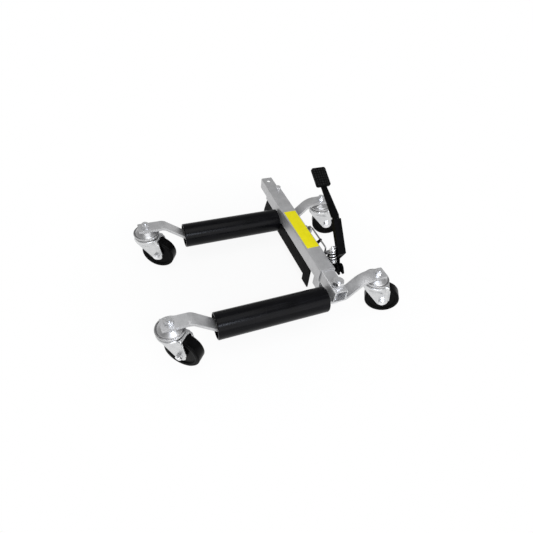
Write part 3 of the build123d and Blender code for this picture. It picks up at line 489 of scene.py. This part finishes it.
def touch(point, centre, radius, side):
    """Angle on a circle at which a line from a point outside touches it."""
    way = Vector(centre) - Vector(point)
    return atan2(-way.y, -way.x) - side * acos(radius / way.length)


def arc(centre, radius, first, last, count):
    """Points on a circle from one angle to another, without the last."""
    turns = [first + (last - first) * i / count for i in range(count)]
    return [Vector((centre[0] + radius * cos(a), centre[1] + radius * sin(a))) for a in turns]


def crown_line(inset):
    """Half the crown's outline, from its front to the middle of the hood, as (x, y)."""
    radius, side, rear = CROWN_R - inset, LEG_OUT - inset, HOOD - inset
    meet = asin(LEG_OUT / CROWN_R)
    stops = [radians(turn) for turn in CROWN_TURNS] + [meet]
    line = []
    for first, last, count in zip(stops, stops[1:], COLUMNS):
        line += arc((0, 0), radius, first, last, count)
    start = (radius * cos(meet), side)
    line += between(start, (rear, side), COLUMNS[4])
    return line + between((rear, side), (rear, 0.0), COLUMNS[5]) + [Vector((rear, 0.0))]


def leg_line():
    """Half the fork's lower edge, from its front round the leg to the hood, as (x, z)."""
    front, corner = (-CROWN_R, APRON_LOW), (APRON_IN - CROWN_R, APRON_LOW - APRON_DROP)
    top = (HOOD + HOOD_EASE, HOOD_LOW)
    lead, trail = touch(corner, EYE, EYE_R, -1), touch(top, EYE, EYE_R, 1)
    ends = [Vector((EYE[0] + EYE_R * cos(a), EYE[1] + EYE_R * sin(a))) for a in (lead, trail)]
    lead, trail = lead % (2 * pi), trail % (2 * pi)
    line = between(front, corner, COLUMNS[0]) + between(corner, ends[0], COLUMNS[1])
    line += arc(EYE, EYE_R, lead, trail + (2 * pi if trail < lead else 0.0), COLUMNS[2] + COLUMNS[3])
    line += between(ends[1], top, COLUMNS[4]) + between(top, (HOOD, HOOD_LOW), COLUMNS[5])
    return line + [Vector((HOOD, HOOD_LOW))]


def fork_half():
    """Columns of points from the kingpin's hole out over the shoulder and down to the lower edge."""
    low = leg_line()
    edge = crown_line(0.0)
    turns = [k * pi / 2 / SHOULDER_STEPS for k in range(SHOULDER_STEPS + 1)]
    shoulder = [(crown_line(SHOULDER_R * (1 - sin(a))), SHOULDER_R * cos(a)) for a in turns]
    top_z = CROWN_TOP - SHOULDER_R
    columns = []
    for i, (down, out) in enumerate(zip(low, edge)):
        turn = atan2(out.y, out.x)
        column = [Vector((PIN_R * cos(turn), PIN_R * sin(turn), CROWN_TOP))]
        column += [Vector((line[i].x, line[i].y, top_z + up)) for line, up in shoulder]
        apron = min(1.0, i / COLUMNS[0])
        leg = 0.0 if i >= len(low) - COLUMNS[5] else apron * apron
        for step in range(1, WALL_STEPS + 1):
            place = Vector((out.x, top_z)).lerp(down, step / WALL_STEPS)
            fall = min(1.0, max(0.0, (top_z - place.y) / (top_z - FLAT_LOW)))
            ease = leg * fall * fall * (3 - 2 * fall)
            column.append(Vector((place.x, out.y + (LEG_OUT - out.y) * ease, place.y)))
        along = (i - sum(COLUMNS[:4])) / COLUMNS[4]
        fold = FLANGE * sin(pi * along) ** 0.5 if 0 < along < 1 else 0.0
        column.append(column[-1] + Vector((FLANGE_LEAN * fold, fold, 0.0)))
        columns.append(column)
    return columns


def fork_sheet():
    """Points and faces of the whole sheet, its two halves mirrored."""
    half = fork_half()
    mirrored = [[Vector((p.x, -p.y, p.z)) for p in column] for column in half[1:-1]]
    columns = half + mirrored[::-1]
    rows = len(columns[0])
    points = [p * MM for column in columns for p in column]
    faces = []
    for i in range(len(columns)):
        after = (i + 1) % len(columns)
        for k in range(rows - 1):
            faces.append((i * rows + k, i * rows + k + 1, after * rows + k + 1, after * rows + k))
    return points, faces


def pressed_fork(corner, place):
    fork = make_piece(corner + "_pressed_fork", fork_sheet(), "bright_zinc", place, 50)
    weld(fork)
    sheet = fork.modifiers.new("sheet", "SOLIDIFY")
    sheet.thickness = SHEET * MM
    sheet.offset = -1.0
    sheet.use_even_offset = True
    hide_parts(corner + "_castor_fork")
    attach(fork, corner + "_castor")


def castor(corner):
    frame_body = "main_frame" if "far" in corner else "sliding_frame"
    pivot = Vector(joints[corner + "_swivel"]["pos_m"])
    cap = make_piece(corner + "_turned_cap", lathe(rounded(CAP)), "cap_zinc",
                     Matrix.Translation((pivot.x, pivot.y, 0)))
    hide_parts(corner + "_swivel_cap")
    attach(cap, frame_body)
    spin = joints[corner + "_wheel_spin"]
    outline = rounded(WHEEL_SIDE + [(r, -w, radius) for r, w, radius in WHEEL_SIDE[::-1]])
    wheel = make_piece(corner + "_turned_wheel", lathe(outline, 128), "black_tyre",
                       facing(spin["pos_m"], spin["axis"]), 30)
    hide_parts(corner + "_castor_wheel")
    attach(wheel, corner + "_wheel")
    trail = Vector(spin["pos_m"]) - pivot
    place = Matrix.Translation((pivot.x, pivot.y, 0)) @ Matrix.Rotation(atan2(trail.y, trail.x), 4, "Z")
    pressed_fork(corner, place)


for corner in CORNERS:
    castor(corner)

# Weld beads, rippled, half sunk in the corner between two pieces
BEAD_R = 2.0
BEAD_STEP = 0.4
BEAD_TIP = 0.35           # share of the radius at the ends
RIPPLE = 2.6
RIPPLE_DEPTH = 0.1        # share of the radius


def bead(name, start, end):
    run = end - start
    count = int(run.length / (BEAD_STEP * MM))
    path = [start + run * (i / count) for i in range(count + 1)]
    radii = []
    for i in range(count + 1):
        ends = min(i, count - i) / count * run.length / (BEAD_R * MM)
        swell = 1 + RIPPLE_DEPTH * sin(2 * pi * i / count * run.length / (RIPPLE * MM))
        radii.append(BEAD_R * MM * swell * (BEAD_TIP + (1 - BEAD_TIP) * min(1.0, ends) ** 0.5))
    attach(make_piece(name, wire(path, radii, 10), "zinc"), "main_frame")


# Along the rail's right side, over the far bar and over the pedal's bracket
bead("far_bar_weld", row(188.6, 168.5, 83.8), row(188.6, 203.5, 83.8))
bead("bracket_weld", row(188.4, -96.0, 91.4), row(188.4, -48.0, 91.4))

# Pedal tread: low round studs on the pad, in rows across it
TOE = row(222.0, 75.2, 264.9)    # lever's last bend
PAD_IN = 2.0                     # from there to the pad
PAD_RUN = Vector((0.0, 0.8784, 0.4780))
PAD_UP = Vector((0.0, -0.4780, 0.8784))
PAD_LENGTH = 62.4
PAD_WIDTH = 46.0
PAD_RIM = 4.5                    # pad's edge without studs
TREAD_TOP = 12.0
STUD_PITCH = 8.0
STUD = [(0.05, 1.3, 0.01), (1.8, 1.3, 0.5), (2.9, -0.4, 0.01), (0.05, -0.4, 0.01)]


def tread():
    points, faces = [], []
    dot, dot_faces = lathe(rounded(STUD, 2), 12)
    across = int((PAD_WIDTH - 2 * PAD_RIM) / STUD_PITCH)
    along = int((PAD_LENGTH - 2 * PAD_RIM) / STUD_PITCH)
    for i in range(across + 1):
        for j in range(along + 1):
            x = (i - across / 2) * STUD_PITCH * MM
            y = (PAD_IN + PAD_LENGTH / 2 + (j - along / 2) * STUD_PITCH) * MM
            base = TOE + Vector((x, 0, 0)) + PAD_RUN * y + PAD_UP * (TREAD_TOP * MM)
            first = len(points)
            points += [base + Vector((p.x, 0, 0)) + PAD_RUN * p.y + PAD_UP * p.z for p in dot]
            faces += [tuple(first + k for k in face) for face in dot_faces]
    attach(make_piece("tread_studs", (points, faces), "worn_rubber"), "pedal")


tread()


# Stage
FLOOR_SIZE = 14
FLOOR_DROP = 0.0004       # under the wheels, so that nothing lies in one plane with it
FLOOR_SHADE = {"From Min": 0.2, "From Max": 0.6, "To Min": 0.9, "To Max": 1.0}    # white, by distance
ROOM = {"From Min": -0.1, "From Max": 0.9, "To Min": 0.6, "To Max": 0.34}         # brightness, by height


def area_lamp(name, place, aim, size, power, colour=(1.0, 1.0, 1.0)):
    light = bpy.data.lights.new(name, "AREA")
    light.shape = "RECTANGLE"
    light.color = colour
    light.size, light.size_y = size
    light.energy = power
    lamp = bpy.data.objects.new(name, light)
    bpy.context.scene.collection.objects.link(lamp)
    lamp.location = place
    lamp.rotation_euler = (Vector(aim) - Vector(place)).to_track_quat("-Z", "Y").to_euler()


def seen_directly(tree):
    """1 for rays from the camera, and for mirrored and refracted ones."""
    path = tree.nodes.new("ShaderNodeLightPath")
    total = path.outputs["Is Camera Ray"]
    for name in ("Is Glossy Ray", "Is Transmission Ray"):
        add = tree.nodes.new("ShaderNodeMath")
        add.operation = "MAXIMUM"
        tree.links.new(total, add.inputs[0])
        tree.links.new(path.outputs[name], add.inputs[1])
        total = add.outputs[0]
    return total


def floor():
    bpy.ops.mesh.primitive_plane_add(size=FLOOR_SIZE, location=(0, 0, -FLOOR_DROP))
    plane = bpy.context.object
    plane.name = "floor"
    material = bpy.data.materials.new("floor")
    material.use_nodes = True
    tree = material.node_tree
    shader = tree.nodes["Principled BSDF"]
    shader.inputs["Base Color"].default_value = (0.9, 0.9, 0.9, 1.0)
    shader.inputs["Roughness"].default_value = 0.9
    glow = tree.nodes.new("ShaderNodeEmission")
    where = tree.nodes.new("ShaderNodeTexCoord")
    away = tree.nodes.new("ShaderNodeVectorMath")
    away.operation = "LENGTH"
    tree.links.new(where.outputs["Object"], away.inputs[0])
    fade = tree.nodes.new("ShaderNodeMapRange")
    for name, value in FLOOR_SHADE.items():
        fade.inputs[name].default_value = value
    tree.links.new(away.outputs["Value"], fade.inputs["Value"])
    share = tree.nodes.new("ShaderNodeMath")
    share.operation = "MULTIPLY"
    tree.links.new(fade.outputs["Result"], share.inputs[1])
    tree.links.new(seen_directly(tree), share.inputs[0])
    mix = tree.nodes.new("ShaderNodeMixShader")
    tree.links.new(share.outputs[0], mix.inputs["Fac"])
    tree.links.new(shader.outputs[0], mix.inputs[1])
    tree.links.new(glow.outputs[0], mix.inputs[2])
    tree.links.new(mix.outputs[0], tree.nodes["Material Output"].inputs["Surface"])
    plane.data.materials.append(material)


def studio_world():
    """White to the camera; a soft grey room, darker above, to everything else."""
    world = bpy.data.worlds.new("studio")
    world.use_nodes = True
    tree = world.node_tree
    ground = tree.nodes["Background"]
    where = tree.nodes.new("ShaderNodeTexCoord")
    split = tree.nodes.new("ShaderNodeSeparateXYZ")
    tree.links.new(where.outputs["Generated"], split.inputs[0])
    ramp = tree.nodes.new("ShaderNodeMapRange")
    for name, value in ROOM.items():
        ramp.inputs[name].default_value = value
    tree.links.new(split.outputs["Z"], ramp.inputs["Value"])
    white = tree.nodes.new("ShaderNodeMix")
    white.data_type = "FLOAT"
    path = tree.nodes.new("ShaderNodeLightPath")
    tree.links.new(path.outputs["Is Camera Ray"], white.inputs["Factor"])
    tree.links.new(ramp.outputs["Result"], white.inputs[2])
    white.inputs[3].default_value = 1.0
    tree.links.new(white.outputs[0], ground.inputs["Strength"])
    ground.inputs["Color"].default_value = (1.0, 1.0, 1.0, 1.0)
    bpy.context.scene.world = world


def photo_camera():
    turn, down, roll = radians(CAMERA_TURN), radians(CAMERA_DOWN), radians(CAMERA_ROLL)
    forward = Vector((sin(turn) * cos(down), cos(turn) * cos(down), -sin(down)))
    level = forward.cross(Vector((0, 0, 1))).normalized()
    under = forward.cross(level)
    right = level * cos(roll) + under * sin(roll)
    up = level * sin(roll) - under * cos(roll)
    data = bpy.data.cameras.new("camera")
    data.sensor_width = SENSOR
    data.lens = CAMERA_LENS
    data.shift_x, data.shift_y = CAMERA_SHIFT
    data.clip_start = 0.01
    camera = bpy.data.objects.new("camera", data)
    bpy.context.scene.collection.objects.link(camera)
    axes = Matrix((right, up, -forward)).transposed().to_4x4()
    camera.matrix_world = Matrix.Translation(CAMERA_PLACE) @ axes
    bpy.context.scene.camera = camera


floor()
studio_world()
photo_camera()
area_lamp("front", (0.2, -2.1, 1.0), (0.0, 0.0, 0.1), (2.4, 1.8), 24)
area_lamp("overhead", (-0.2, -0.3, 2.1), (-0.2, -0.1, 0.1), (1.4, 1.4), 13)
area_lamp("small", (-0.04, -1.19, 1.18), (-0.1, 0.0, 0.1), (0.24, 0.24), 5, (0.78, 0.85, 1.0))

bpy.context.scene.view_settings.view_transform = "Standard"
